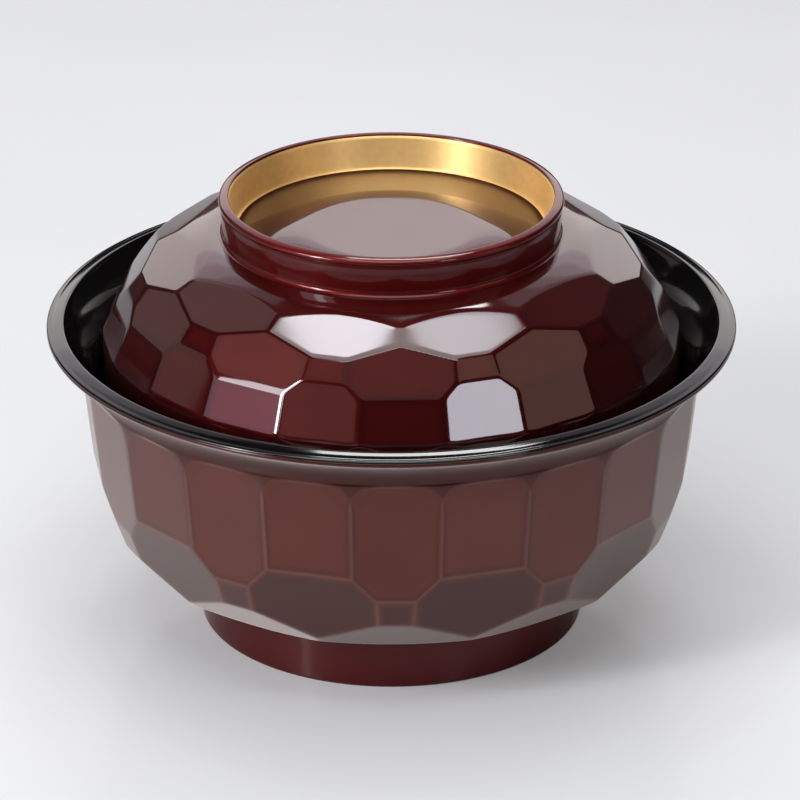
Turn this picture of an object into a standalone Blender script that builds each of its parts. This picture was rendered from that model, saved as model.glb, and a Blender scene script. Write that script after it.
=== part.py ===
"""A lidded lacquer donburi bowl with tortoise-shell facets, +Z up, in metres.

The origin is the middle of the foot, on the table. The lid is modelled in its own frame, whose
origin is the middle of its lower edge, and hangs on an empty that lies on the axis it lifts along.
"""
import math

import bmesh
import bpy
from mathutils import Matrix, Vector
from mathutils.geometry import interpolate_bezier

# Pattern: hexagons round the object, with a long and a short panel for each of them
HEXAGON_COUNT = 11
PANEL_COUNT = 2 * HEXAGON_COUNT
FACES_PER_PANEL = 3
CURVE_POINTS = 7
LIP_POINTS = 3
BOWL_TURN = math.radians(0.8)
LID_TURN = math.radians(2.2)

# Bowl heights, each measured up from the one before it
FOOT_HEIGHT = 0.0113
LENS_RISE = 0.0137
NECK_RISE = 0.0068
HEXAGON_RISE = 0.0057
PANEL_RISE = 0.0225
FLARE_RISE = 0.0105

# Bowl radii and leans, a facet's radius being taken to the middle of its flat
FOOT_RADIUS = 0.0426
FOOT_TAPER = 0.0004
FOOT_WALL = 0.0044
LENS_OVERHANG = 0.0060
UNDERSIDE_SLOPE = math.radians(23.7)
BODY_RADIUS = 0.0680
BAND_PROUD = 0.00035
PANEL_LEAN = math.radians(6.1)
HEXAGON_LEAN = math.radians(20.0)
NECK_LEAN = math.radians(20.0)
RUN_OUT = 0.0015
RIM_OVERHANG = 0.00775

# Bowl walls
BOWL_WALL = 0.0046
LIP_WIDTH = 0.0030
LIP_DEPTH = 0.0010
RIM_EDGE = 0.0008
FLOOR_HEIGHT = 0.0042
BOSS_DEPTH = 0.0020
INSIDE_FLARE_DROP = 0.0100

# Lid heights, each measured up from the one before it
SEAT_DROP = 0.0025
LID_BAND_RISE = 0.0100
LID_PANEL_RISE = 0.0088
LID_HEXAGON_RISE = 0.0028
LID_NECK_RISE = 0.0041
LID_LENS_RISE = 0.0058
SHOULDER_RISE = 0.0018
KNOB_RISE = 0.00835

# Lid radii, leans and walls
LID_PLAY = 0.0004
LID_BAND_PROUD = 0.0004
LID_PANEL_LEAN = math.radians(24.5)
LID_HEXAGON_LEAN = math.radians(37.8)
LID_NECK_LEAN = math.radians(37.3)
LID_WALL = 0.0032
CEILING_THICKNESS = 0.0034
SHOULDER_WIDTH = 0.0062
KNOB_RADIUS = 0.0378
KNOB_TAPER = 0.0011
KNOB_WALL = 0.0022
KNOB_SPLAY = 0.0013
KNOB_FLOOR_RISE = 0.0004

# Coats, gaps and soft edges
LINING = 0.0008
GOLD = 0.0006
GAP = 0.0003
EDGE_ROUND = 0.0006
MERGE = 0.000001
SMOOTH_ANGLE = math.radians(30)

# How far the handles of a curve reach along the stretch that they pull
ARC_PULL = 0.55
WALL_PULL = 0.87
FLOOR_PULL = 0.83
FLARE_PULL = 0.50
RIM_PULL = 0.20
LID_WALL_PULL = 0.62
CEILING_PULL = 0.87

# Levels and sizes that follow from the driving ones
LENS_TOP = FOOT_HEIGHT + LENS_RISE
NECK_TOP = LENS_TOP + NECK_RISE
HEXAGON_TOP = NECK_TOP + HEXAGON_RISE
FLARE_LEVEL = HEXAGON_TOP + PANEL_RISE
RIM_LEVEL = FLARE_LEVEL + FLARE_RISE
RIM_RADIUS = BODY_RADIUS + RIM_OVERHANG
BAND_RADIUS = BODY_RADIUS + BAND_PROUD
SEAT_LEVEL = FLARE_LEVEL - SEAT_DROP
COAT = LINING + GAP

LID_PANEL_FOOT = LID_BAND_RISE
LID_PANEL_TOP = LID_PANEL_FOOT + LID_PANEL_RISE
LID_HEXAGON_TOP = LID_PANEL_TOP + LID_HEXAGON_RISE
LID_NECK_TOP = LID_HEXAGON_TOP + LID_NECK_RISE
LID_LENS_TOP = LID_NECK_TOP + LID_LENS_RISE
KNOB_FOOT = LID_LENS_TOP + SHOULDER_RISE
KNOB_TOP = KNOB_FOOT + KNOB_RISE
KNOB_FLOOR = KNOB_FOOT + KNOB_FLOOR_RISE
KNOB_FOOT_RADIUS = KNOB_RADIUS - KNOB_TAPER
KNOB_BORE_TOP = KNOB_RADIUS - KNOB_WALL
KNOB_BORE_FOOT = KNOB_BORE_TOP - KNOB_SPLAY
ROUND_STEPS = PANEL_COUNT * FACES_PER_PANEL


def curve(start, pull_start, pull_end, end, count=CURVE_POINTS):
    """Points of a smooth stretch of outline, pulled towards two handles."""
    knots = [Vector((r, z, 0.0)) for r, z in (start, pull_start, pull_end, end)]
    return [(p.x, p.y) for p in interpolate_bezier(*knots, count)]


def rounded(corner, before, after):
    """Points that round off one corner of an outline."""
    tip = Vector(corner)
    back = tip + (Vector(before) - tip).normalized() * EDGE_ROUND
    ahead = tip + (Vector(after) - tip).normalized() * EDGE_ROUND
    return curve(back[:], back.lerp(tip, ARC_PULL)[:], ahead.lerp(tip, ARC_PULL)[:], ahead[:], LIP_POINTS)


def offset(outline, distance):
    """The same open outline, moved sideways: to its left where the distance is positive."""
    points = [Vector(p) for p in outline]
    sides = []
    for here, there in zip(points, points[1:]):
        run = (there - here).normalized()
        sides.append(Vector((-run.y, run.x)))
    moved = []
    for i, point in enumerate(points):
        before = sides[max(i - 1, 0)]
        after = sides[min(i, len(sides) - 1)]
        mitre = (before + after).normalized()
        moved.append(point + mitre * (distance / mitre.dot(after)))
    return [(max(p.x, 0.0), p.y) for p in moved]


def level_end(outline, radius):
    """The outline with its last point carried level to a radius."""
    return outline[:-1] + [(radius, outline[-1][1])]


def radius_at(outline, level):
    """Where an outline that falls from its first point crosses a level."""
    for (r0, z0), (r1, z1) in zip(outline, outline[1:]):
        if z1 <= level <= z0:
            return r0 + (r1 - r0) * (z0 - level) / (z0 - z1)
    raise ValueError("the outline does not reach the level")


def lacquer(name, colour, roughness, metallic=0.0):
    """A plain finish with the piece's own colour."""
    material = bpy.data.materials.new(name)
    material.use_nodes = True
    shader = material.node_tree.nodes["Principled BSDF"]
    shader.inputs["Base Color"].default_value = (*colour, 1.0)
    shader.inputs["Roughness"].default_value = roughness
    shader.inputs["Metallic"].default_value = metallic
    return material


def turned(name, section, steps=ROUND_STEPS, turn=0.0, parent=None):
    """A body turned from a closed section; with few steps its sides are flats instead of round."""
    mesh = bpy.data.meshes.new(name)
    bm = bmesh.new()
    verts = [bm.verts.new((r, 0.0, z)) for r, z in section]
    for a, b in zip(verts, verts[1:] + verts[:1]):
        on_axis = a.co.x == 0.0 and b.co.x == 0.0
        if not on_axis:
            bm.edges.new((a, b))
    bmesh.ops.rotate(bm, verts=bm.verts, cent=(0, 0, 0), matrix=Matrix.Rotation(turn, 3, "Z"))
    bmesh.ops.spin(bm, geom=bm.verts[:] + bm.edges[:], cent=(0, 0, 0), axis=(0, 0, 1),
                   angle=2 * math.pi, steps=steps, use_merge=True)
    bmesh.ops.remove_doubles(bm, verts=bm.verts, dist=MERGE)
    bmesh.ops.recalc_face_normals(bm, faces=bm.faces)
    bm.to_mesh(mesh)
    bm.free()
    mesh.shade_smooth()
    mesh.set_sharp_from_angle(angle=SMOOTH_ANGLE)
    obj = bpy.data.objects.new(name, mesh)
    bpy.context.collection.objects.link(obj)
    obj.parent = parent
    return obj


def flats(name, outline, count, facing, parent=None):
    """A many-sided guide whose flats follow an outline, one of them at the facing angle."""
    corner = 1.0 / math.cos(math.pi / count)
    section = [(r * corner, z) for r, z in outline]
    guide = turned(name, section, count, facing + math.pi / count, parent=parent)
    guide.hide_render = True
    guide.display_type = "WIRE"
    return guide


def cut_flats(obj, guides):
    """Keep what lies inside every guide."""
    for guide in guides:
        cut = obj.modifiers.new(guide.name, "BOOLEAN")
        cut.operation = "INTERSECT"
        cut.solver = "EXACT"
        cut.object = guide


def axis_empty(name, level):
    """An empty on the upright axis."""
    empty = bpy.data.objects.new(name, None)
    empty.location = (0.0, 0.0, level)
    bpy.context.collection.objects.link(empty)
    return empty


def bowl_inside():
    """The black surface, from the outer edge of the lip to the middle of the floor."""
    lip_foot = (RIM_RADIUS, RIM_LEVEL - LIP_DEPTH)
    lip_top = (RIM_RADIUS - LIP_WIDTH / 2, RIM_LEVEL)
    lip_inner = (RIM_RADIUS - LIP_WIDTH, RIM_LEVEL - LIP_DEPTH / 2)
    wall_level = FLARE_LEVEL - INSIDE_FLARE_DROP
    wall = (BODY_RADIUS - INSIDE_FLARE_DROP * math.tan(PANEL_LEAN) - BOWL_WALL, wall_level)
    floor_level = FOOT_HEIGHT + FLOOR_HEIGHT
    outer = curve(lip_foot, (lip_foot[0], RIM_LEVEL), (lip_foot[0], RIM_LEVEL), lip_top, LIP_POINTS)
    inner = curve(lip_top, (lip_inner[0], RIM_LEVEL), (lip_inner[0], RIM_LEVEL), lip_inner, LIP_POINTS)
    reach = wall_level - floor_level
    flare = curve(lip_inner, (lip_inner[0] - LIP_WIDTH, lip_inner[1] - LIP_WIDTH),
                  (wall[0], wall[1] + INSIDE_FLARE_DROP), wall)
    bottom = curve(wall, (wall[0] - reach * math.tan(PANEL_LEAN), wall[1] - WALL_PULL * reach),
                   (FLOOR_PULL * wall[0], floor_level), (0.0, floor_level))
    return outer + inner[1:] + flare[1:] + bottom[1:]


def panel_line(level):
    """How far the bowl's panels stand from the axis at a level."""
    return BODY_RADIUS - (FLARE_LEVEL - level) * math.tan(PANEL_LEAN)


def bowl_guides():
    """The flats of the bowl: panels, hexagons, and lenses with the necks above them."""
    clear_radius = RIM_RADIUS + RIM_OVERHANG
    clear_top = RIM_LEVEL + FLARE_RISE
    cap = [(BODY_RADIUS + RUN_OUT, FLARE_LEVEL + RUN_OUT), (clear_radius, FLARE_LEVEL + FLARE_RISE / 2),
           (clear_radius, clear_top), (0.0, clear_top)]

    def leaning(anchor_level, lean):
        def reach(level):
            return panel_line(anchor_level) + (level - anchor_level) * math.tan(lean)
        return reach

    hexagon = leaning(HEXAGON_TOP, HEXAGON_LEAN)
    neck = leaning(NECK_TOP, NECK_LEAN)
    lens_foot = FOOT_RADIUS + LENS_OVERHANG
    panels = [(0.0, 0.0), (panel_line(0.0), 0.0), (BODY_RADIUS, FLARE_LEVEL)] + cap
    hexagons = [(0.0, 0.0), (hexagon(0.0), 0.0), (hexagon(FLARE_LEVEL), FLARE_LEVEL)] + cap[1:]
    lenses = [(0.0, 0.0), (lens_foot, 0.0), (lens_foot, FOOT_HEIGHT), (neck(LENS_TOP), LENS_TOP),
              (neck(FLARE_LEVEL), FLARE_LEVEL)] + cap[1:]
    long_panel = BOWL_TURN - math.pi / 2
    short_panel = long_panel + math.pi / HEXAGON_COUNT
    return [flats("bowl_panel_guide", panels, PANEL_COUNT, long_panel),
            flats("bowl_hexagon_guide", hexagons, HEXAGON_COUNT, short_panel),
            flats("bowl_lens_guide", lenses, HEXAGON_COUNT, long_panel)]


def make_bowl_shell(inside):
    """Turned wall with a flared rim, cut all round with flats, and a boss that locates the foot."""
    back = offset(inside, COAT)
    boss_radius = FOOT_RADIUS - FOOT_WALL - GAP
    boss_level = FOOT_HEIGHT - BOSS_DEPTH
    knee = FOOT_HEIGHT + (BAND_RADIUS - FOOT_RADIUS) * math.tan(UNDERSIDE_SLOPE)
    rim_top = (RIM_RADIUS, RIM_LEVEL - LIP_DEPTH - GAP)
    rim_foot = (RIM_RADIUS, rim_top[1] - RIM_EDGE)
    under_rim = curve((BAND_RADIUS, FLARE_LEVEL), (BAND_RADIUS, FLARE_LEVEL + FLARE_PULL * FLARE_RISE),
                      (RIM_RADIUS - FLARE_PULL * RIM_OVERHANG, rim_foot[1] - RIM_PULL * FLARE_RISE), rim_foot)
    section = [(0.0, boss_level), (boss_radius, boss_level), (boss_radius, FOOT_HEIGHT),
               (FOOT_RADIUS, FOOT_HEIGHT), (BAND_RADIUS, knee)]
    section += under_rim
    section += [rim_top, (back[0][0], rim_top[1])] + back[1:-1] + [(0.0, back[-1][1])]
    shell = turned("bowl_shell", section)
    cut_flats(shell, bowl_guides())
    shell.data.materials.append(lacquer("maroon_lacquer_bowl", (0.060, 0.012, 0.010), 0.16))


def make_bowl_lining(inside):
    """Black coat of the inside and the lip."""
    back = offset(inside, LINING)
    section = level_end(inside, 0.0) + [(0.0, back[-1][1])] + back[-2::-1]
    lining = turned("bowl_lining", section)
    lining.data.materials.append(lacquer("black_lacquer_bowl", (0.006, 0.005, 0.005), 0.08))


def make_foot_ring():
    """Turned ring that the bowl stands on."""
    top = FOOT_HEIGHT - GAP
    bore = FOOT_RADIUS - FOOT_WALL
    outer_foot = (FOOT_RADIUS, 0.0)
    inner_foot = (bore, 0.0)
    outer_top = (FOOT_RADIUS - FOOT_TAPER, top)
    section = [(bore, top)]
    section += rounded(inner_foot, (bore, top), outer_foot)
    section += rounded(outer_foot, inner_foot, outer_top)
    section += [outer_top]
    foot = turned("bowl_foot_ring", section)
    foot.data.materials.append(lacquer("maroon_lacquer_foot", (0.075, 0.010, 0.009), 0.12))


def lid_guides(edge_radius, parent):
    """The flats of the lid: panels, hexagons, and lenses with the necks below them."""
    panel_foot = edge_radius - LID_BAND_PROUD
    clear_radius = edge_radius + SHOULDER_WIDTH
    clear_top = KNOB_TOP + KNOB_RISE

    def panel(level):
        return panel_foot - (level - LID_PANEL_FOOT) * math.tan(LID_PANEL_LEAN)

    def leaning(anchor_level, lean):
        def reach(level):
            return panel(anchor_level) - (level - anchor_level) * math.tan(lean)
        return reach

    def solid(sides):
        tip_radius, tip_level = sides[-1]
        base = [(0.0, -LID_BAND_RISE), (clear_radius, -LID_BAND_RISE), (clear_radius, LID_BAND_RISE / 2)]
        return base + sides + [(tip_radius, clear_top), (0.0, clear_top)]

    hexagon = leaning(LID_PANEL_TOP, LID_HEXAGON_LEAN)
    neck = leaning(LID_HEXAGON_TOP, LID_NECK_LEAN)
    lens_top = KNOB_RADIUS + SHOULDER_WIDTH
    lens_slope = (neck(LID_NECK_TOP) - lens_top) / LID_LENS_RISE
    lens_end = lens_top - SHOULDER_WIDTH
    lens_end_level = LID_LENS_TOP + SHOULDER_WIDTH / lens_slope
    run_out = (panel_foot + RUN_OUT, LID_PANEL_FOOT - RUN_OUT)
    panels = solid([run_out, (panel_foot, LID_PANEL_FOOT), (panel(KNOB_FOOT), KNOB_FOOT)])
    hexagons = solid([(hexagon(LID_PANEL_FOOT), LID_PANEL_FOOT), (hexagon(KNOB_FOOT), KNOB_FOOT)])
    lenses = solid([(neck(LID_PANEL_FOOT), LID_PANEL_FOOT), (neck(LID_NECK_TOP), LID_NECK_TOP),
                    (lens_end, lens_end_level)])
    hexagon_facing = LID_TURN - math.pi / 2
    neck_facing = hexagon_facing + math.pi / HEXAGON_COUNT
    return [flats("lid_panel_guide", panels, PANEL_COUNT, hexagon_facing, parent),
            flats("lid_hexagon_guide", hexagons, HEXAGON_COUNT, hexagon_facing, parent),
            flats("lid_lens_guide", lenses, HEXAGON_COUNT, neck_facing, parent)]


def lid_inside(edge_radius):
    """The lid's black inner surface, from its edge to the middle of its ceiling."""
    start = edge_radius - LID_WALL
    ceiling = KNOB_FLOOR - CEILING_THICKNESS
    return curve((start, GAP), (start, LID_WALL_PULL * ceiling), (CEILING_PULL * start, ceiling),
                 (0.0, ceiling))


def make_lid_shell(edge_radius, inside, parent):
    """Turned dome with a plain band at its edge, cut with flats, and a boss inside the knob ring."""
    back = offset(inside, -COAT)
    edge_inner = (back[0][0], 0.0)
    edge_outer = (edge_radius, 0.0)
    band_top = (edge_radius, LID_PANEL_TOP)
    boss_radius = KNOB_BORE_FOOT - GAP
    slope = SHOULDER_RISE / SHOULDER_WIDTH
    crown = (edge_radius, KNOB_FOOT - (edge_radius - KNOB_RADIUS) * slope)
    section = rounded(edge_inner, back[1], edge_outer) + rounded(edge_outer, edge_inner, band_top)
    section += [crown, (KNOB_RADIUS, KNOB_FOOT), (boss_radius, KNOB_FOOT), (boss_radius, KNOB_FLOOR),
                (0.0, KNOB_FLOOR), (0.0, back[-1][1])]
    section += back[-2:0:-1]
    shell = turned("lid_shell", section, parent=parent)
    cut_flats(shell, lid_guides(edge_radius, parent))
    shell.data.materials.append(lacquer("maroon_lacquer_lid", (0.060, 0.008, 0.008), 0.10))


def make_lid_lining(inside, parent):
    """Black coat of the lid's inside."""
    back = offset(inside, -LINING)
    section = level_end(inside, 0.0) + [(0.0, back[-1][1])] + back[-2::-1]
    lining = turned("lid_lining", section, parent=parent)
    lining.data.materials.append(lacquer("black_lacquer_lid", (0.006, 0.005, 0.005), 0.08))


def make_knob_ring(parent):
    """Turned ring on top, which is held to lift the lid and which the lid stands on when turned over."""
    foot = KNOB_FOOT + GAP
    coat = GOLD + GAP
    bore_foot = (KNOB_BORE_FOOT + coat, foot)
    bore_top = (KNOB_BORE_TOP + coat, KNOB_TOP)
    outer_top = (KNOB_RADIUS, KNOB_TOP)
    outer_foot = (KNOB_FOOT_RADIUS, foot)
    section = [bore_foot, outer_foot]
    section += rounded(outer_top, outer_foot, bore_top)
    section += [bore_top]
    knob = turned("lid_knob_ring", section, parent=parent)
    knob.data.materials.append(lacquer("maroon_lacquer_knob", (0.070, 0.008, 0.008), 0.10))


def make_gold_band(parent):
    """Gold coat of the knob ring's bore."""
    foot = KNOB_FLOOR + GAP
    section = [(KNOB_BORE_FOOT, foot), (KNOB_BORE_FOOT + GOLD, foot),
               (KNOB_BORE_TOP + GOLD, KNOB_TOP - EDGE_ROUND), (KNOB_BORE_TOP, KNOB_TOP - EDGE_ROUND)]
    band = turned("lid_knob_gold_band", section, parent=parent)
    band.data.materials.append(lacquer("gold_lacquer", (0.620, 0.390, 0.120), 0.28, 1.0))


def main():
    for obj in list(bpy.data.objects):
        bpy.data.objects.remove(obj, do_unlink=True)

    inside = bowl_inside()
    make_bowl_shell(inside)
    make_bowl_lining(inside)
    make_foot_ring()

    lift = axis_empty("lid_lift_axis", SEAT_LEVEL)
    edge_radius = radius_at(inside, SEAT_LEVEL) - LID_PLAY
    ceiling = lid_inside(edge_radius)
    make_lid_shell(edge_radius, ceiling, lift)
    make_lid_lining(ceiling, lift)
    make_knob_ring(lift)
    make_gold_band(lift)


main()
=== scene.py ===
"""The looks of a lidded lacquer donburi bowl: its fine pieces and finishes, a table, light and a camera.

Lengths are in metres and +Z is up. The origin lies under the middle of the foot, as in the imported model.
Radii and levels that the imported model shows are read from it, and most of the others repeat the part's source.
The lip, the flare, the ridges and the knob ring are shaped more finely here, with sizes of their own.
An outline is a list of points, each with a radius and a level, that is turned round the Z axis.
"""
import math

import bmesh
import bpy
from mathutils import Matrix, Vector
from mathutils.geometry import interpolate_bezier


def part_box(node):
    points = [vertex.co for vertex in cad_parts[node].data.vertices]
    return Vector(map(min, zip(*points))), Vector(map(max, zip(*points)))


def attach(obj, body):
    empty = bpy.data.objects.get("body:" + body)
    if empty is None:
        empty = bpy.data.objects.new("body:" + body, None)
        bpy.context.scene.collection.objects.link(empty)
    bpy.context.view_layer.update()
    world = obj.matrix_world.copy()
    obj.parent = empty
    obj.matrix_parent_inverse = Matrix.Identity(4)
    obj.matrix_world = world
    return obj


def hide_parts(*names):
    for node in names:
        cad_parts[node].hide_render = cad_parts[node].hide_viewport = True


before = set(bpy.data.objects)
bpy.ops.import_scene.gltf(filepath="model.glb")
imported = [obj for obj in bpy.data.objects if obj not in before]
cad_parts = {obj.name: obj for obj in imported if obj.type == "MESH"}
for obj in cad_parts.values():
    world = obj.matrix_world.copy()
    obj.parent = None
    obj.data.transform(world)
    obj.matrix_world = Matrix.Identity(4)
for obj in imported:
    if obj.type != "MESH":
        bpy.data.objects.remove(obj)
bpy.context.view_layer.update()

MM = 0.001

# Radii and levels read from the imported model
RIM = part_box("bowl_lining")[1]
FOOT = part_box("bowl_foot_ring")[1]
LID_LOW, LID_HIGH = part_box("lid_shell")
KNOB_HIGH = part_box("lid_knob_ring")[1]

# Facets: hexagons round the object, with a long and a short panel for each of them. The step, from a long
# panel to the short one beside it, is half of a hexagon's share of the circle.
HEXAGON_COUNT = 11
PANEL_COUNT = 2 * HEXAGON_COUNT
HEXAGON_STEP = math.pi / HEXAGON_COUNT
BOWL_FACING = math.radians(0.8 - 90)
LID_FACING = math.radians(2.2 - 90)

# Columns of faces in one hexagon's share, on a piece with flats and on a plain round one
FLAT_COLUMNS = 72
ROUND_COLUMNS = 24

# Bowl outside, from its joint with the foot ring up to the flare
SEAM = 0.3 * MM
FOOT_HEIGHT = FOOT.z + SEAM
LENS_TOP = 25.0 * MM
NECK_TOP = 31.8 * MM
HEXAGON_TOP = 37.5 * MM
FLARE_LEVEL = 60.0 * MM
LENS_FOOT_RADIUS = FOOT.x + 6.0 * MM
LENS_START = 0.36
UNDERSIDE_SLOPE = math.radians(23.7)
BODY_RADIUS = 68.0 * MM
BAND_RADIUS = BODY_RADIUS + 0.27 * MM
PANEL_LEAN = math.radians(6.1)
HEXAGON_LEAN = math.radians(20.0)
BOWL_CORE = Vector((36.0, 46.0)) * MM

# Arched heads of the bowl's panels: the round surface swells there before the flare begins
ARCH_HEIGHT = 5.5 * MM
ARCH_START_BULGE = 0.12 * MM
ARCH_START_PULL = 2.6 * MM
ARCH_BULGE = 0.30 * MM
ARCH_END_PULL = 0.9 * MM

# Flared rim under the lip
RIM_EDGE = 0.8 * MM
RIM_ROUND = 0.35 * MM
RIM_UNDERCUT = 0.2 * MM
RIM_GAP = 0.04 * MM
RIM_PULL_IN = 3.9 * MM
RIM_PULL_DOWN = 1.9 * MM
FLARE_PULL = 0.6

# Bowl inside and lip: the lip falls away more steeply in its outer part
LIP_WIDTH = 3.7 * MM
LIP_DEPTH = 1.35 * MM
LIP_FACE = 2.0 * MM
LIP_TILT = math.radians(13.75)
LIP_FALL = math.radians(19.5)
LIP_EDGE = 0.35 * MM
LIP_ROUND = 1.3 * MM
LIP_PULL = 0.5
LIP_POINTS = 11
FLARE_DROP = 10.0 * MM
FLARE_PULL_IN = 0.3
FLARE_PULL_DOWN = 0.6
BOWL_WALL = 4.6 * MM
BOWL_FLOOR = 4.2 * MM
WALL_LEVEL = FLARE_LEVEL - FLARE_DROP
WALL_RADIUS = BODY_RADIUS - FLARE_DROP * math.tan(PANEL_LEAN) - BOWL_WALL
WALL_PULL = 0.87
FLOOR_LEVEL = FOOT_HEIGHT + BOWL_FLOOR
FLOOR_PULL = 0.83

# Linings, and how far apart the points of the wall behind them lie, in points of the lining
LINING = 0.8 * MM
LINING_GAP = 0.1 * MM
BOWL_BACK_SPACING = 6
LID_BACK_SPACING = 5

# Foot ring
FOOT_WALL = 4.4 * MM
FOOT_TAPER = 0.4 * MM
FOOT_ROUND = 0.7 * MM
FOOT_TOP_GAP = 0.05 * MM
FOOT_TOP_ROUND = 0.3 * MM
BOSS_DEPTH = 2.0 * MM

# Lid outside
SEAT_LEVEL = LID_LOW.z
LID_RADIUS = LID_HIGH.x
LID_PANEL_FOOT = SEAT_LEVEL + 10.0 * MM
LID_PANEL_TOP = LID_PANEL_FOOT + 8.8 * MM
LID_HEXAGON_TOP = LID_PANEL_TOP + 2.8 * MM
LID_NECK_TOP = LID_HEXAGON_TOP + 4.1 * MM
LID_LENS_TOP = LID_NECK_TOP + 5.8 * MM
LID_PANEL_RADIUS = LID_RADIUS - 0.4 * MM
LID_PANEL_LEAN = math.radians(24.5)
LID_HEXAGON_LEAN = math.radians(37.8)
LID_NECK_LEAN = math.radians(37.3)
LID_BAND_SLOPE = 0.08
LID_EDGE_ROUND = 0.8 * MM
LID_CORE = Vector((20.0, 64.0)) * MM
LID_CROWN = 1 / (600.0 * MM)    # one over the radius to which a facet is bent

# Lid inside
LID_WALL = 3.2 * MM
LID_SIDE_PULL = 0.62
LID_CEILING_PULL = 0.87

# Round shoulder of the lid, between its lenses and the knob ring
SHOULDER_WIDTH = 6.2 * MM
SHOULDER_SLOPE = math.tan(math.radians(16.2))
SHOULDER_PULL = 0.4 * SHOULDER_WIDTH
KNOB_FOOT_SLOPE = 0.05

# Knob ring and its floor
KNOB_RADIUS = KNOB_HIGH.x
KNOB_TOP = KNOB_HIGH.z
KNOB_FLOOR = LID_HIGH.z
KNOB_SEAT = LID_LENS_TOP + 1.25 * MM
KNOB_GAP = 0.05 * MM
KNOB_TAPER = 0.55 * MM
KNOB_WALL = 2.2 * MM
KNOB_SPLAY = 1.3 * MM
KNOB_COVE = 1.2 * MM
COVE_PULL = 0.3
TOE_SINK = 0.1 * MM
LIP_BEAD = 0.25 * MM
BEAD_RISE = 0.6 * MM
KNOB_LIP_ROUND = 0.7 * MM
KNOB_INNER_ROUND = 0.6 * MM
CEILING = KNOB_FLOOR - 3.4 * MM

# Gold coat of the knob's bore
GOLD = 0.6 * MM
GOLD_COVE = 0.65 * MM
GOLD_COVE_START = 0.14
GOLD_TOP = KNOB_TOP - 0.65 * MM
GOLD_FLOOR = KNOB_FLOOR + 0.03 * MM

# Stretches beside the facets' edges in which rows of faces lie close
ROWS_PAST_HEXAGON = 1.5 * MM
ROWS_UNDER_LID_PANEL = 2.0 * MM
ROWS_IN_LID_PANEL = 1.5 * MM
ROWS_UNDER_LID_HEXAGON = 0.8 * MM

# How softly flats meet each other, and how softly they run out into the round
BOWL_BLEND = 0.15 * MM
LID_BLEND = 0.07 * MM
# Width of the painted highlight and shade lines along the ridges
RIDGE_PAINT_WIDTH = 0.24 * MM
RIDGE_LIFT = 0.05 * MM
LIFT_WIDTH = 0.26 * MM
# Share of the painted ridge tones where a flat runs into the round surface
ROUND_EDGE_PAINT = 0.2
RUN_OUT_BLEND = 0.05 * MM
RUN_OUT_SLOPE = 0.55
RUN_OUT_HEIGHT = 0.8 * MM
RUN_OUT_END = 1.5
LEAST_CLOSING = 0.01
FAR = 1.0

# Outlines: the pull that makes a corner nearly a circle's, and how near points are to be joined
CIRCLE_PULL = 0.55
JOIN_WITHIN = 0.002 * MM

# Sizes of the patterns in the finishes, in millimetres
CLOUD_SIZE = 14
MAROON_WAVE_SIZE = 11
BLACK_WAVE_SIZE = 12
GOLD_GRAIN_SIZE = 1.5
TABLE_MOTTLE_SIZE = 160

# Table: half its width, how far back its middle lies, the hair's breadth between it and the foot, and how
# much lighter the camera sees it
TABLE_REACH = 2.0
TABLE_BACK = 1.62
TABLE_GAP = 0.02 * MM
TABLE_LIFT = 0.17

# Lamps, which all face one point in the middle of the object. Each has its azimuth and elevation in degrees
# from there, its distance, width and height, how bright its face is, and its colour.
LAMP_AIM = Vector((0, 0, 0.07))
LAMPS = (
    # Large light over the object, for the table and the lenses at the lid's front
    ("overhead", 0, 82, 1.20, 0.90, 0.90, 3.1, "#FBFDFF"),
    ("overhead_left", -135, 75, 1.10, 0.11, 0.11, 12.0, "#F4F7FF"),
    ("overhead_right", 131.5, 71.5, 1.10, 0.11, 0.11, 6.3, "#F4F7FF"),
    # Line of light along the lip
    ("back_strip", 175, 55, 1.10, 0.32, 0.10, 12.5, "#FFFFFF"),
    # Main light from the left, which throws the shadow
    ("left_lamp", -51, 27, 1.00, 0.10, 0.38, 30.0, "#FFFCFA"),
    ("left_softbox", -53, 29, 1.02, 0.38, 0.30, 10.0, "#FDF9FF"),
    # Dim room in front, for the facets that face the camera
    ("front_high", 0, 57.5, 1.20, 0.90, 0.12, 5.0, "#FBFDFF"),
    ("front_wall", -16, 46, 1.20, 0.90, 0.34, 0.3, "#FFF2EC"),
    ("front_wall_low", -31, 23, 1.20, 0.22, 0.16, 0.35, "#FFF2EC"),
    # Dim room on the left, for the facets that face that way
    ("left_wall", -68, 15, 1.20, 0.52, 0.30, 1.3, "#F0E4FF"),
    ("left_wall_high", -68, 44, 1.20, 0.40, 0.30, 0.5, "#FFF2EC"),
    ("left_back_wall", -106, 15, 1.20, 0.76, 0.30, 0.45, "#FFE8E0"),
    ("left_corner", -136, 48, 1.20, 0.30, 0.30, 0.5, "#FFF2EC"),
    # Small lamp on the right, for one white panel, and the dim room round it
    ("right_lamp", 37, 22.5, 0.70, 0.12, 0.11, 9.5, "#F2F3FF"),
    ("right_softbox", 45, 46, 1.10, 0.40, 0.30, 0.85, "#FFD4C2"),
    ("right_wall", 70, 26, 1.20, 0.50, 0.60, 0.85, "#FFD8C8"),
    # Bright backdrop, for the shoulder and the knob's floor
    ("back_wall", 180, 19, 1.20, 1.50, 0.34, 1.88, "#FFF8F7"),
    # The backdrop fades upwards
    ("back_wall_0", 180, 30, 1.20, 1.30, 0.126, 1.5, "#FBF4FF"),
    ("back_wall_1", 180, 36, 1.20, 1.30, 0.126, 1.14, "#FBF4FF"),
    ("back_wall_2", 180, 42, 1.20, 1.30, 0.126, 0.78, "#FBF4FF"),
    ("back_wall_3", 180, 48, 1.20, 1.30, 0.126, 0.42, "#FBF4FF"),
)

# Room behind the table: how bright it is as light, and how bright to the camera
ROOM_LIGHT = 0.03
ROOM_SEEN = 1.0

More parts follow.
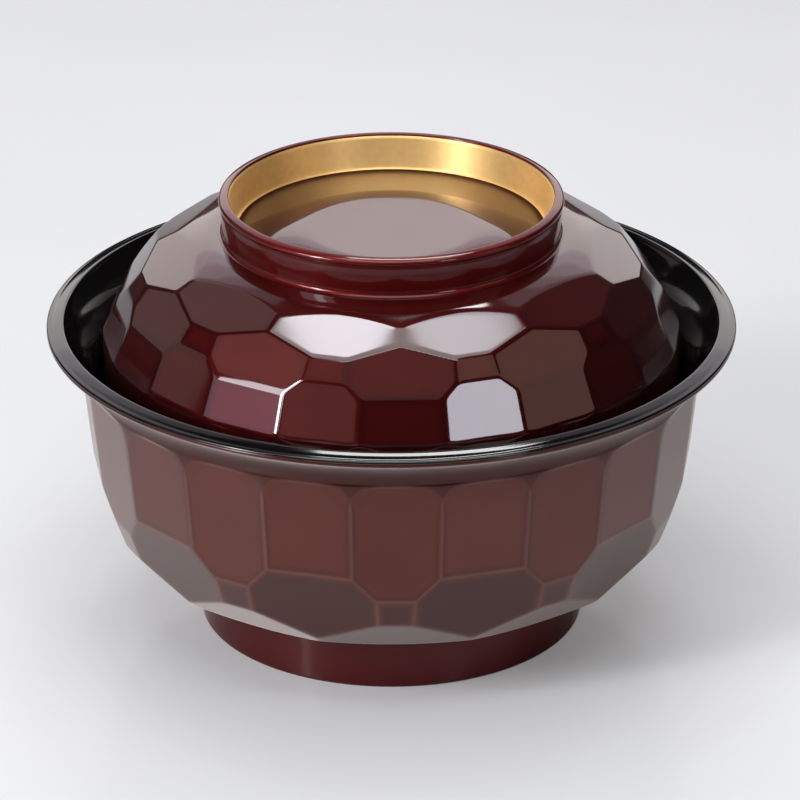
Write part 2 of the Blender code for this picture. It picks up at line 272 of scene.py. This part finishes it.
# Camera: its place is round a target, and it aims slightly past that
SENSOR_WIDTH = 36.0
FOCAL_LENGTH = 243.4
CAMERA_ELEVATION = 24.51
CAMERA_DISTANCE = 1.2
CAMERA_TARGET = Vector((0, 0, 0.045))
AIM_RIGHT = 1.89 * MM
AIM_UP = 4.24 * MM


def curve(start, pull_start, pull_end, end, count):
    """Points of a smooth stretch of outline, pulled towards two handles."""
    knots = [Vector((r, z, 0.0)) for r, z in (start, pull_start, pull_end, end)]
    return [(p.x, p.y) for p in interpolate_bezier(*knots, count)]


def rows(start, end, count):
    """Even rows from one point of an outline up to, but without, the next."""
    a, b = Vector(start), Vector(end)
    return [tuple(a.lerp(b, i / count)) for i in range(count)]


def rounded(corner, before, after, radius, count=7):
    """Points that round off one corner of an outline."""
    tip = Vector(corner)
    back = tip + (Vector(before) - tip).normalized() * radius
    ahead = tip + (Vector(after) - tip).normalized() * radius
    return curve(back[:], back.lerp(tip, CIRCLE_PULL)[:], ahead.lerp(tip, CIRCLE_PULL)[:], ahead[:], count)


def offset(outline, distance):
    """The same open outline, moved sideways: to its left where the distance is positive."""
    points = [Vector(p) for p in outline]
    sides = [(there - here).normalized().orthogonal() for here, there in zip(points, points[1:])]
    moved = []
    for i, point in enumerate(points):
        before = sides[max(i - 1, 0)]
        after = sides[min(i, len(sides) - 1)]
        mitre = (before + after).normalized()
        moved.append(point + mitre * (distance / mitre.dot(after)))
    return [(max(p.x, 0.0), p.y) for p in moved]


def turn(bm, outline, columns, closed=False):
    """Turn an outline, open or closed, through the share of a circle that one hexagon takes up."""
    verts = [bm.verts.new((r, 0.0, z)) for r, z in outline]
    ends = verts[1:] + verts[:1] if closed else verts[1:]
    edges = [bm.edges.new(pair) for pair in zip(verts, ends)]
    bmesh.ops.spin(bm, geom=verts + edges, cent=(0, 0, 0), axis=(0, 0, 1), angle=2 * HEXAGON_STEP,
                   steps=columns)


def repeat_round(bm):
    """Repeat that share all round the axis, and join the shares."""
    copies = HEXAGON_COUNT - 1
    bmesh.ops.spin(bm, geom=bm.verts[:] + bm.edges[:] + bm.faces[:], cent=(0, 0, 0), axis=(0, 0, 1),
                   angle=2 * HEXAGON_STEP * copies, steps=copies, use_duplicate=True)
    bmesh.ops.remove_doubles(bm, verts=bm.verts, dist=JOIN_WITHIN)
    bmesh.ops.recalc_face_normals(bm, faces=bm.faces)


def finish_piece(bm, name, body, slot, material, *nodes):
    """Smooth a mesh, and make it the piece that stands for its nodes."""
    mesh = bpy.data.meshes.new(name)
    bm.to_mesh(mesh)
    bm.free()
    mesh.shade_smooth()
    mesh.materials.append(material)
    piece = bpy.data.objects.new(name, mesh)
    bpy.context.scene.collection.objects.link(piece)
    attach(piece, body)
    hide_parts(*nodes)


def soft_min(lengths, blend):
    """The least of some lengths, eased where two of them are close."""
    least = min(lengths)
    return least - blend * math.log(sum(math.exp((least - length) / blend) for length in lengths))


class Flats:
    """A ring of flats round the axis, with the radius of their outline at a level and its slope there.

    A run-out is a ring with the same flats that slopes more: a flat ends where the run-out reaches further.
    A crown bends each flat a little round the axis, so a reflection fades across it.
    """

    def __init__(self, count, facing, radius, level, slope, run_out=None, crown=0.0):
        self.step = 2 * math.pi / count
        self.facing = facing
        self.slope = slope
        self.base = radius - slope * level
        self.run_out = run_out
        self.crown = crown

    def meet(self, core, out, swing):
        """How far it is from the core, in the direction out, to a flat that is turned aside by this much."""
        closing = out.x * swing - self.slope * out.y
        if closing < LEAST_CLOSING:
            return FAR
        reach = (self.base + self.slope * core.y - core.x * swing) / closing
        aside = (core.x + out.x * reach) ** 2 * (1 - swing ** 2)
        reach -= self.crown * aside / 2 * math.hypot(1, self.slope) / closing
        if self.run_out:
            reach = -soft_min([-reach, -self.run_out.meet(core, out, swing)], RUN_OUT_BLEND)
        return reach

    def reaches(self, core, out, angle):
        """How far it is to the nearest flat at this angle, and to the one beside it."""
        turned = (angle - self.facing) / self.step
        aside = abs(turned - round(turned))
        return [self.meet(core, out, math.cos(share * self.step)) for share in (aside, 1 - aside)]


def cut_flats(bm, core, rings, blend, lift=0.0):
    """Slide each vertex along its line to the core, down to the first flat that it meets.

    Flats meet in ridges, which the blend eases and the lift raises into a faint rib. The ridge layer rises
    to 1 on them, and only to the round edge's share where a flat meets the round surface; the materials paint
    their ridge lines of painted highlight and shade from it. The layer of unshaded flats is 1 on the flats of
    the first ring, and where a material gives a painted facet shade, that darkens all the rest.
    """
    ridge_layer = bm.verts.layers.float.new("ridge")
    unshaded_layer = bm.verts.layers.float.new("rubbed")
    for vert in bm.verts:
        angle = math.atan2(vert.co.y, vert.co.x)
        out = Vector((math.hypot(vert.co.x, vert.co.y), vert.co.z)) - core
        reaches = [out.length]
        out.normalize()
        for ring in rings:
            reaches += ring.reaches(core, out, angle)
        first, second = sorted(reaches)[:2]
        apart = second - first
        raised = lift * math.exp(-(apart / LIFT_WIDTH) ** 2)
        place = core + out * (soft_min(reaches, blend) + raised)
        vert.co = (place.x * math.cos(angle), place.x * math.sin(angle), place.y)
        # Mask for the painted highlight and shade lines along the ridges
        ridge = math.exp(-apart / RIDGE_PAINT_WIDTH)
        vert[ridge_layer] = ridge if reaches[0] > second else min(ridge, ROUND_EDGE_PAINT)
        # 1 on the first ring's flats, which the painted facet shade leaves off
        vert[unshaded_layer] = 1.0 if first in reaches[1:3] else 0.0


def bowl_inside():
    """The black surface of the bowl, from the outer edge of the lip to the middle of the floor."""
    tilt, fall = math.tan(LIP_TILT), math.tan(LIP_FALL)
    lip_foot = (RIM.x, RIM.z - LIP_DEPTH)
    crest = (RIM.x - LIP_WIDTH, RIM.z)
    face_bend = (crest[0] + LIP_FACE, RIM.z - LIP_FACE * tilt)
    face_foot = (RIM.x - LIP_ROUND, face_bend[1] - (LIP_WIDTH - LIP_ROUND - LIP_FACE) * fall)
    flare_top = (crest[0] - LIP_EDGE, crest[1] - 2 * LIP_EDGE)
    wall = (WALL_RADIUS, WALL_LEVEL)
    depth = WALL_LEVEL - FLOOR_LEVEL

    bend = LIP_PULL * LIP_ROUND
    outer = curve(lip_foot, (RIM.x, lip_foot[1] + bend), (face_foot[0] + bend, face_foot[1] - bend * fall),
                  face_foot, count=LIP_POINTS)
    edge = rounded(crest, face_bend, flare_top, LIP_EDGE, count=5)
    inner = rows(face_foot, face_bend, count=3)[1:] + rows(face_bend, edge[0], count=3) + edge
    flare = curve(flare_top,
                  (flare_top[0] - FLARE_PULL_IN * LIP_WIDTH, flare_top[1] - FLARE_PULL_DOWN * LIP_WIDTH),
                  (wall[0], wall[1] + FLARE_DROP), wall, count=18)
    bottom = curve(wall, (wall[0] - depth * math.tan(PANEL_LEAN), wall[1] - WALL_PULL * depth),
                   (FLOOR_PULL * wall[0], FLOOR_LEVEL), (0.0, FLOOR_LEVEL), count=30)
    return outer + inner + flare + bottom[1:]


def bowl_rings():
    """The bowl's flats, with the run-out that ends its panels under the flared rim."""
    def panel_radius(level):
        return BODY_RADIUS - (FLARE_LEVEL - level) * math.tan(PANEL_LEAN)

    short = BOWL_FACING + HEXAGON_STEP
    lean = math.tan(HEXAGON_LEAN)
    neck_foot = panel_radius(NECK_TOP) - (NECK_TOP - LENS_TOP) * lean
    lens_slope = (neck_foot - LENS_FOOT_RADIUS) / (LENS_TOP - FOOT_HEIGHT)
    run_out_end = Flats(PANEL_COUNT, BOWL_FACING, BODY_RADIUS + RUN_OUT_SLOPE * RUN_OUT_HEIGHT,
                        FLARE_LEVEL + RUN_OUT_HEIGHT, RUN_OUT_END)
    run_out = Flats(PANEL_COUNT, BOWL_FACING, BODY_RADIUS, FLARE_LEVEL, RUN_OUT_SLOPE, run_out_end)
    panels = Flats(PANEL_COUNT, BOWL_FACING, BODY_RADIUS, FLARE_LEVEL, math.tan(PANEL_LEAN), run_out)
    hexagons = Flats(HEXAGON_COUNT, short, panel_radius(HEXAGON_TOP), HEXAGON_TOP, lean)
    necks = Flats(HEXAGON_COUNT, BOWL_FACING, panel_radius(NECK_TOP), NECK_TOP, lean)
    lenses = Flats(HEXAGON_COUNT, BOWL_FACING, neck_foot, LENS_TOP, lens_slope)
    return [panels, hexagons, necks, lenses]


def lid_rings():
    """The lid's flats. Those of the band at its edge give the panels a straight lower edge."""
    def panel_radius(level):
        return LID_PANEL_RADIUS - (level - LID_PANEL_FOOT) * math.tan(LID_PANEL_LEAN)

    between = LID_FACING + HEXAGON_STEP
    neck_lean = math.tan(LID_NECK_LEAN)
    neck_top = panel_radius(LID_HEXAGON_TOP) - (LID_NECK_TOP - LID_HEXAGON_TOP) * neck_lean
    lens_slope = (neck_top - KNOB_RADIUS - SHOULDER_WIDTH) / (LID_LENS_TOP - LID_NECK_TOP)
    band = Flats(PANEL_COUNT, LID_FACING, LID_PANEL_RADIUS, LID_PANEL_FOOT, -LID_BAND_SLOPE)
    panels = Flats(PANEL_COUNT, LID_FACING, LID_PANEL_RADIUS, LID_PANEL_FOOT, -math.tan(LID_PANEL_LEAN),
                   crown=LID_CROWN)
    hexagons = Flats(HEXAGON_COUNT, LID_FACING, panel_radius(LID_PANEL_TOP), LID_PANEL_TOP,
                     -math.tan(LID_HEXAGON_LEAN), crown=LID_CROWN)
    necks = Flats(HEXAGON_COUNT, between, panel_radius(LID_HEXAGON_TOP), LID_HEXAGON_TOP, -neck_lean,
                  crown=LID_CROWN)
    lenses = Flats(HEXAGON_COUNT, between, neck_top, LID_NECK_TOP, -lens_slope, crown=LID_CROWN)
    return [band, panels, hexagons, necks, lenses]


def make_bowl_shell(material):
    """Turned wall with a flared rim, cut all round with flats, closed behind the lining."""
    joint = (FOOT.x, FOOT_HEIGHT)
    knee = (BAND_RADIUS, FOOT_HEIGHT + (BAND_RADIUS - FOOT.x) * math.tan(UNDERSIDE_SLOPE))
    lens_start = tuple(Vector(joint).lerp(Vector(knee), LENS_START))
    panel_foot = (BAND_RADIUS, HEXAGON_TOP + ROWS_PAST_HEXAGON)
    panel_head = (BAND_RADIUS, FLARE_LEVEL - ARCH_HEIGHT)
    band = (BAND_RADIUS, FLARE_LEVEL + RUN_OUT_HEIGHT)
    rim_top = (RIM.x, RIM.z - LIP_DEPTH - RIM_GAP)
    rim_foot = (RIM.x - RIM_UNDERCUT, rim_top[1] - RIM_EDGE)

    arches = curve(panel_head, (BAND_RADIUS + ARCH_START_BULGE, panel_head[1] + ARCH_START_PULL),
                   (BAND_RADIUS + ARCH_BULGE, band[1] - ARCH_END_PULL), band, count=20)
    under_rim = curve(band, (BAND_RADIUS, band[1] + FLARE_PULL * (rim_foot[1] - band[1])),
                      (RIM.x - RIM_PULL_IN, rim_foot[1] - RIM_PULL_DOWN), rim_foot, count=16)
    edge = rounded((RIM.x, rim_foot[1]), under_rim[-2], rim_top, RIM_ROUND, count=5)
    outline = rows(joint, lens_start, count=4) + rows(lens_start, knee, count=32)
    outline += rows(knee, panel_foot, count=30) + rows(panel_foot, panel_head, count=7)
    outline += arches[:-1] + under_rim[:-1] + edge + [rim_top]
    bm = bmesh.new()
    turn(bm, outline, FLAT_COLUMNS)
    cut_flats(bm, BOWL_CORE, bowl_rings(), BOWL_BLEND, RIDGE_LIFT)

    behind = LINING + LINING_GAP
    back = offset(bowl_inside()[LIP_POINTS - 1::BOWL_BACK_SPACING], behind)
    inner = [rim_top, (RIM.x - LINING, rim_top[1])] + back[1:-1] + [(0.0, FLOOR_LEVEL - behind)]
    boss = FOOT.x - FOOT_WALL - SEAM
    boss_level = FOOT_HEIGHT - BOSS_DEPTH
    under = [(0.0, boss_level), (boss, boss_level), (boss, FOOT_HEIGHT), joint]
    turn(bm, inner, FLAT_COLUMNS)
    turn(bm, under, FLAT_COLUMNS)
    repeat_round(bm)
    finish_piece(bm, "bowl_wall", "bowl", "maroon_lacquer_bowl", material, "bowl_shell")


def make_bowl_lining(material):
    """Black coat of the inside, wrapped over the lip."""
    bm = bmesh.new()
    turn(bm, bowl_inside(), ROUND_COLUMNS)
    repeat_round(bm)
    bmesh.ops.solidify(bm, geom=bm.faces[:], thickness=LINING)
    finish_piece(bm, "bowl_inside_coat", "bowl", "black_lacquer", material, "bowl_lining")


def make_foot_ring(material):
    """Turned ring that the bowl stands on, with soft edges at the table."""
    bore = FOOT.x - FOOT_WALL
    top = FOOT_HEIGHT - FOOT_TOP_GAP
    inner_foot, outer_foot = (bore, 0.0), (FOOT.x, 0.0)
    inner_top, outer_top = (bore, top), (FOOT.x - FOOT_TAPER, top)
    outline = [inner_top] + rounded(inner_foot, inner_top, outer_foot, FOOT_ROUND)
    outline += rounded(outer_foot, inner_foot, outer_top, FOOT_ROUND)
    outline += rows((FOOT.x, 2 * FOOT_ROUND), outer_top, count=6)[1:]
    outline += rounded(outer_top, outer_foot, inner_top, FOOT_TOP_ROUND, count=4)
    bm = bmesh.new()
    turn(bm, outline, ROUND_COLUMNS, closed=True)
    repeat_round(bm)
    finish_piece(bm, "foot_ring", "bowl", "maroon_lacquer_ring", material, "bowl_foot_ring")


def make_lid_shell(material):
    """Turned dome with a plain band at its edge, cut with flats, and the mirror floor inside its knob."""
    edge = (LID_RADIUS, SEAT_LEVEL)
    edge_inner = (LID_RADIUS - LID_WALL, SEAT_LEVEL)
    band_end = (LID_RADIUS, LID_PANEL_FOOT - ROWS_UNDER_LID_PANEL)
    panel_start = (LID_RADIUS, LID_PANEL_FOOT + ROWS_IN_LID_PANEL)
    panel_end = (LID_RADIUS, LID_PANEL_TOP - ROWS_UNDER_LID_HEXAGON)
    shoulder = (KNOB_RADIUS + SHOULDER_WIDTH, LID_LENS_TOP)
    crown = (LID_RADIUS, LID_LENS_TOP - (LID_RADIUS - shoulder[0]) * SHOULDER_SLOPE)
    knob_foot = (KNOB_RADIUS, KNOB_SEAT)

    corner = rounded(edge, edge_inner, band_end, LID_EDGE_ROUND)
    top = curve(shoulder, (shoulder[0] - SHOULDER_PULL, shoulder[1] + SHOULDER_PULL * SHOULDER_SLOPE),
                (knob_foot[0] + SHOULDER_PULL, knob_foot[1] - SHOULDER_PULL * KNOB_FOOT_SLOPE), knob_foot,
                count=11)
    outline = corner[:-1] + rows(corner[-1], band_end, count=5) + rows(band_end, panel_start, count=10)
    outline += rows(panel_start, panel_end, count=4) + rows(panel_end, crown, count=18)
    outline += rows(crown, shoulder, count=40) + top
    bm = bmesh.new()
    turn(bm, outline, FLAT_COLUMNS)
    cut_flats(bm, LID_CORE, lid_rings(), LID_BLEND)

    bore = KNOB_RADIUS - KNOB_WALL - KNOB_SPLAY
    floor = [knob_foot, (bore, KNOB_SEAT), (bore, KNOB_FLOOR), (bore / 2, KNOB_FLOOR), (0.0, KNOB_FLOOR)]
    back = offset(lid_inside()[::LID_BACK_SPACING], -LINING - LINING_GAP)
    inner = [outline[0], (back[0][0], SEAT_LEVEL)] + back[1:-1] + [(0.0, back[-1][1])]
    turn(bm, floor, FLAT_COLUMNS)
    turn(bm, inner, FLAT_COLUMNS)
    repeat_round(bm)
    finish_piece(bm, "lid_dome", "lid", "maroon_lacquer_lid", material, "lid_shell")


def lid_inside():
    """The line of the lid's inside, from its edge to the middle of its ceiling."""
    start = LID_RADIUS - LID_WALL
    depth = CEILING - SEAT_LEVEL
    return curve((start, SEAT_LEVEL + SEAM), (start, SEAT_LEVEL + LID_SIDE_PULL * depth),
                 (LID_CEILING_PULL * start, CEILING), (0.0, CEILING), count=31)


def make_lid_lining(material):
    """Black coat of the lid's inside, on the hollow's side of its line."""
    bm = bmesh.new()
    turn(bm, lid_inside(), ROUND_COLUMNS)
    repeat_round(bm)
    bmesh.ops.solidify(bm, geom=bm.faces[:], thickness=LINING)
    finish_piece(bm, "lid_inside_coat", "lid", "black_lacquer", material, "lid_lining")


def make_knob_ring(material):
    """Turned ring with a beaded, rounded lip and a small cove where it grows out of the dome."""
    wall_radius = KNOB_RADIUS - LIP_BEAD
    foot_radius = wall_radius - KNOB_TAPER
    seat = KNOB_SEAT + KNOB_GAP
    bore_top = KNOB_RADIUS - KNOB_WALL + GOLD + KNOB_GAP
    toe = (foot_radius + KNOB_COVE, seat - TOE_SINK)
    wall_foot = (foot_radius, seat + KNOB_COVE)
    lip_outer = (KNOB_RADIUS, KNOB_TOP - KNOB_WALL * math.tan(LIP_TILT))
    lip_inner = (KNOB_RADIUS - KNOB_WALL, KNOB_TOP)
    gold_top = (KNOB_RADIUS - KNOB_WALL, KNOB_TOP - KNOB_INNER_ROUND)
    bead_foot = (KNOB_RADIUS, lip_outer[1] - KNOB_LIP_ROUND)
    wall_top = (wall_radius, bead_foot[1] - BEAD_RISE)

    outline = curve(toe, (foot_radius + COVE_PULL * KNOB_COVE, toe[1]),
                    (foot_radius, seat + COVE_PULL * KNOB_COVE), wall_foot, count=9)
    outline += rows(wall_foot, wall_top, count=8)[1:]
    outline += curve(wall_top, (wall_radius, wall_top[1] + LIP_BEAD), (KNOB_RADIUS, bead_foot[1] - LIP_BEAD),
                     bead_foot, count=5)
    outline += rounded(lip_outer, bead_foot, lip_inner, KNOB_LIP_ROUND)[1:]
    outline += rounded(lip_inner, lip_outer, gold_top, KNOB_INNER_ROUND)
    outline += [(bore_top, gold_top[1] - KNOB_GAP), (bore_top - KNOB_SPLAY, seat)]
    bm = bmesh.new()
    turn(bm, outline, ROUND_COLUMNS, closed=True)
    repeat_round(bm)
    finish_piece(bm, "knob_ring", "lid", "maroon_lacquer_ring", material, "lid_knob_ring")


def make_gold_band(material):
    """Gold coat of the knob's bore, with a small cove where it meets the floor."""
    bore_top = (KNOB_RADIUS - KNOB_WALL, GOLD_TOP)
    bore_foot = (bore_top[0] - KNOB_SPLAY, GOLD_FLOOR)
    wall_foot = tuple(Vector(bore_foot).lerp(Vector(bore_top), GOLD_COVE_START))
    toe = (bore_foot[0] - GOLD_COVE, GOLD_FLOOR)
    outline = rows(bore_top, wall_foot, count=8)
    outline += curve(wall_foot, bore_foot, bore_foot, toe, count=9)
    outline += [(bore_foot[0] + GOLD, GOLD_FLOOR), (bore_top[0] + GOLD, GOLD_TOP)]
    bm = bmesh.new()
    turn(bm, outline, ROUND_COLUMNS, closed=True)
    repeat_round(bm)
    finish_piece(bm, "gold_band", "lid", "gold_lacquer", material, "lid_knob_gold_band")


def linear(code):
    """An sRGB hex colour as linear red, green, blue and alpha."""
    shares = [int(code[i:i + 2], 16) / 255 for i in (1, 3, 5)]
    return (*[s / 12.92 if s <= 0.04045 else ((s + 0.055) / 1.055) ** 2.4 for s in shares], 1.0)


def per_size(millimetres):
    """The scale at which a pattern repeats about once in this many millimetres."""
    return 1.0 / (millimetres * MM)


def add(tree, kind, settings=(), **sockets):
    """One node with its settings; a socket takes a value, or a node and the name of its output."""
    node = tree.nodes.new(kind)
    for name, value in dict(settings).items():
        setattr(node, name, value)

    def live(ends, name):
        return next(end for end in ends if end.name == name and end.enabled)

    for name, value in sockets.items():
        socket = live(node.inputs, name.replace("_", " "))
        if isinstance(value, tuple) and isinstance(value[0], bpy.types.Node):
            tree.links.new(live(value[0].outputs, value[1]), socket)
        else:
            socket.default_value = value
    return node


def empty_material(name):
    """A material with nothing in it but a place to take its patterns from."""
    material = bpy.data.materials.new(name)
    material.use_nodes = True
    tree = material.node_tree
    tree.nodes.clear()
    return material, tree, add(tree, "ShaderNodeTexCoord")


def noise(tree, place, millimetres, detail):
    """A cloudy pattern of this size."""
    return add(tree, "ShaderNodeTexNoise", Vector=(place, "Object"), Scale=per_size(millimetres),
               Detail=detail)


def mix(tree, factor, a, b):
    """One colour fading to another where the factor, a node and the name of its output, rises."""
    return add(tree, "ShaderNodeMix", {"data_type": "RGBA"}, Factor=factor, A=a, B=b)


def rise(tree, value, low, high):
    """A soft step from 0 to 1 as a value goes from low to high."""
    return add(tree, "ShaderNodeMapRange", {"interpolation_type": "SMOOTHSTEP"}, Value=value, From_Min=low,
               From_Max=high)


def surface(tree, shader):
    """Make this shader the material's surface."""
    add(tree, "ShaderNodeOutputMaterial", Surface=(shader, "BSDF"))


def lacquer(name, light, dark, ridge_flank_shade, edge, coat_roughness, coat_ior, bloom, painted_facet_shade=None):
    """Maroon lacquer, brushed on and polished: colour with a metal glint in it, under a clear coat.

    It gives the eye a deep wine red, softly clouded between its light and its dark tone, with the gloss of a
    mirror. Each ridge has a fine line of the edge tone, with the flank tone beside it, and these are painted
    tones: on the lid the line is darker, a painted dark reflection, and on the bowl it is lighter, partly edge
    wear and partly a painted highlight, with painted shade beside it. Bloom is the pale haze of a polished
    coat that is seen from the side. A painted facet shade, where one is given, is painted shade on all but the
    panels, so the facets and round parts that face further down look darker.
    """
    material, tree, place = empty_material(name)
    cloud = noise(tree, place, CLOUD_SIZE, detail=3.0)
    depth = mix(tree, (cloud, "Fac"), linear(dark), linear(light))
    # Painted shade: all but the first ring's flats take the painted facet shade, so the facets and round parts
    # that face further down look darker
    if painted_facet_shade:
        rubbed = add(tree, "ShaderNodeAttribute", {"attribute_name": "rubbed"})
        depth = mix(tree, (rubbed, "Fac"), linear(painted_facet_shade), (depth, "Result"))
    # Painted ridge lines: the edge tone along each ridge and the flank tone beside it stand for the highlight
    # and shade that the ridges catch
    ridge = add(tree, "ShaderNodeAttribute", {"attribute_name": "ridge"})
    beside = rise(tree, (ridge, "Fac"), low=0.05, high=0.45)
    along = rise(tree, (ridge, "Fac"), low=0.40, high=0.95)
    flank_shaded = mix(tree, (beside, "Result"), (depth, "Result"), linear(ridge_flank_shade))
    colour = mix(tree, (along, "Result"), (flank_shaded, "Result"), linear(edge))
    wave = noise(tree, place, MAROON_WAVE_SIZE, detail=1.0)
    skin = add(tree, "ShaderNodeBump", Strength=0.12, Distance=0.06 * MM, Height=(wave, "Fac"))
    shader = add(tree, "ShaderNodeBsdfPrincipled", Base_Color=(colour, "Result"), Roughness=0.5,
                 Metallic=0.7, Specular_IOR_Level=0.0, Coat_Weight=1.0, Coat_Roughness=coat_roughness,
                 Coat_IOR=coat_ior, Sheen_Weight=bloom, Sheen_Roughness=0.36, Sheen_Tint=linear("#FFF4EE"),
                 Normal=(skin, "Normal"), Coat_Normal=(skin, "Normal"))
    surface(tree, shader)
    return material


def black_lacquer():
    """Black lacquer, brushed on and polished.

    It gives the eye a deep black, with clear reflections that are a little wavy, as brushed coats are.
    """
    material, tree, place = empty_material("black_lacquer")
    cloud = noise(tree, place, CLOUD_SIZE, detail=3.0)
    tone = mix(tree, (cloud, "Fac"), linear("#080606"), linear("#0D0A0A"))
    wave = noise(tree, place, BLACK_WAVE_SIZE, detail=1.0)
    skin = add(tree, "ShaderNodeBump", Strength=0.1, Distance=0.05 * MM, Height=(wave, "Fac"))
    shader = add(tree, "ShaderNodeBsdfPrincipled", Base_Color=(tone, "Result"), Roughness=0.08, IOR=1.5,
                 Normal=(skin, "Normal"))
    surface(tree, shader)
    return material


def gold_lacquer():
    """Gold powder lacquer, burnished round the bore.

    It gives the eye a warm gold with a fine grain, whose glints the rubbing draws out into upright streaks.
    """
    material, tree, place = empty_material("gold_lacquer")
    grain = noise(tree, place, GOLD_GRAIN_SIZE, detail=2.0)
    colour = mix(tree, (grain, "Fac"), linear("#F0C478"), linear("#FAD896"))
    around = add(tree, "ShaderNodeTangent", {"direction_type": "RADIAL", "axis": "Z"})
    shader = add(tree, "ShaderNodeBsdfPrincipled", Base_Color=(colour, "Result"), Roughness=0.46,
                 Metallic=0.62, Anisotropic=0.75, Anisotropic_Rotation=0.25, Tangent=(around, "Tangent"))
    surface(tree, shader)
    return material


def table_top():
    """Pale painted board under a thin varnish.

    It gives the eye a cool near-white, faintly mottled, with a weak gloss and a soft shadow. The camera alone
    sees it a little lighter than the lamps make it, so no light falls on the object from that.
    """
    material, tree, place = empty_material("pale_table")
    mottle = noise(tree, place, TABLE_MOTTLE_SIZE, detail=2.0)
    colour = mix(tree, (mottle, "Fac"), linear("#C0C3C5"), linear("#CCCFD1"))
    rays = add(tree, "ShaderNodeLightPath")
    glow = add(tree, "ShaderNodeMapRange", Value=(rays, "Is Camera Ray"), To_Max=TABLE_LIFT)
    shader = add(tree, "ShaderNodeBsdfPrincipled", Base_Color=(colour, "Result"), Roughness=0.5, IOR=1.3,
                 Coat_Weight=0.2, Coat_Roughness=0.12, Coat_IOR=1.36, Emission_Color=linear("#F2F4F6"),
                 Emission_Strength=(glow, "Result"))
    surface(tree, shader)
    return material


def make_table():
    """A wide pale table under the foot."""
    mesh = bpy.data.meshes.new("table")
    bm = bmesh.new()
    bmesh.ops.create_grid(bm, x_segments=1, y_segments=1, size=TABLE_REACH)
    bmesh.ops.translate(bm, verts=bm.verts, vec=(0, TABLE_BACK, -TABLE_GAP))
    bm.to_mesh(mesh)
    bm.free()
    mesh.materials.append(table_top())
    table = bpy.data.objects.new("table", mesh)
    bpy.context.scene.collection.objects.link(table)


def direction(azimuth, elevation):
    """A unit vector; azimuth 0 lies on the camera's side, and azimuths to its right are positive."""
    a, e = math.radians(azimuth), math.radians(elevation)
    return Vector((math.sin(a) * math.cos(e), -math.cos(a) * math.cos(e), math.sin(e)))


def softbox(name, azimuth, elevation, distance, width, height, radiance, colour):
    """A rectangle of light that faces the object, as bright as said."""
    lamp = bpy.data.lights.new(name, "AREA")
    lamp.shape = "RECTANGLE"
    lamp.size = width
    lamp.size_y = height
    lamp.energy = radiance * math.pi * width * height
    lamp.color = linear(colour)[:3]
    box = bpy.data.objects.new(name, lamp)
    away = direction(azimuth, elevation)
    box.location = LAMP_AIM + away * distance
    box.rotation_euler = away.to_track_quat("Z", "Y").to_euler()
    bpy.context.scene.collection.objects.link(box)


def make_light():
    """Studio lamps in a dim room, which only the camera sees as pale."""
    for lamp in LAMPS:
        softbox(*lamp)
    world = bpy.data.worlds.new("dim_room")
    world.use_nodes = True
    tree = world.node_tree
    tree.nodes.clear()
    rays = add(tree, "ShaderNodeLightPath")
    level = add(tree, "ShaderNodeMapRange", Value=(rays, "Is Camera Ray"), To_Min=ROOM_LIGHT,
                To_Max=ROOM_SEEN)
    haze = add(tree, "ShaderNodeBackground", Color=linear("#DFE1E3"), Strength=(level, "Result"))
    add(tree, "ShaderNodeOutputWorld", Surface=(haze, "Background"))
    bpy.context.scene.world = world
    bpy.context.scene.view_settings.view_transform = "Standard"


def make_camera():
    """The photograph's viewpoint: a long lens, a little above the object."""
    lens = bpy.data.cameras.new("camera")
    lens.sensor_width = SENSOR_WIDTH
    lens.lens = FOCAL_LENGTH
    camera = bpy.data.objects.new("camera", lens)
    elevation = math.radians(CAMERA_ELEVATION)
    up = Vector((0, math.sin(elevation), math.cos(elevation)))
    camera.location = CAMERA_TARGET + direction(0, CAMERA_ELEVATION) * CAMERA_DISTANCE
    aim = CAMERA_TARGET + Vector((AIM_RIGHT, 0, 0)) + up * AIM_UP
    camera.rotation_euler = (camera.location - aim).to_track_quat("Z", "Y").to_euler()
    bpy.context.scene.collection.objects.link(camera)
    bpy.context.scene.camera = camera


def main():
    # Bowl: its lighter edge line is partly wear and partly a painted highlight; its flank tone and its facet
    # tone are painted shade
    bowl = lacquer("maroon_lacquer_bowl", light="#6C2E22", dark="#5C261B", ridge_flank_shade="#56231B", edge="#744036",
                   coat_roughness=0.10, coat_ior=1.40, bloom=1.0, painted_facet_shade="#461409")
    # Lid: its darker edge line is a painted dark reflection along the ridges
    lid = lacquer("maroon_lacquer_lid", light="#4B0F0E", dark="#3E0A0B", ridge_flank_shade="#3E0A0B", edge="#360809",
                  coat_roughness=0.06, coat_ior=1.57, bloom=0.0)
    ring = lacquer("maroon_lacquer_ring", light="#681717", dark="#581212", ridge_flank_shade="#581212", edge="#681717",
                   coat_roughness=0.06, coat_ior=1.40, bloom=0.0)
    black = black_lacquer()
    make_bowl_shell(bowl)
    make_bowl_lining(black)
    make_foot_ring(ring)
    make_lid_shell(lid)
    make_lid_lining(black)
    make_knob_ring(ring)
    make_gold_band(gold_lacquer())
    make_table()
    make_light()
    make_camera()


main()
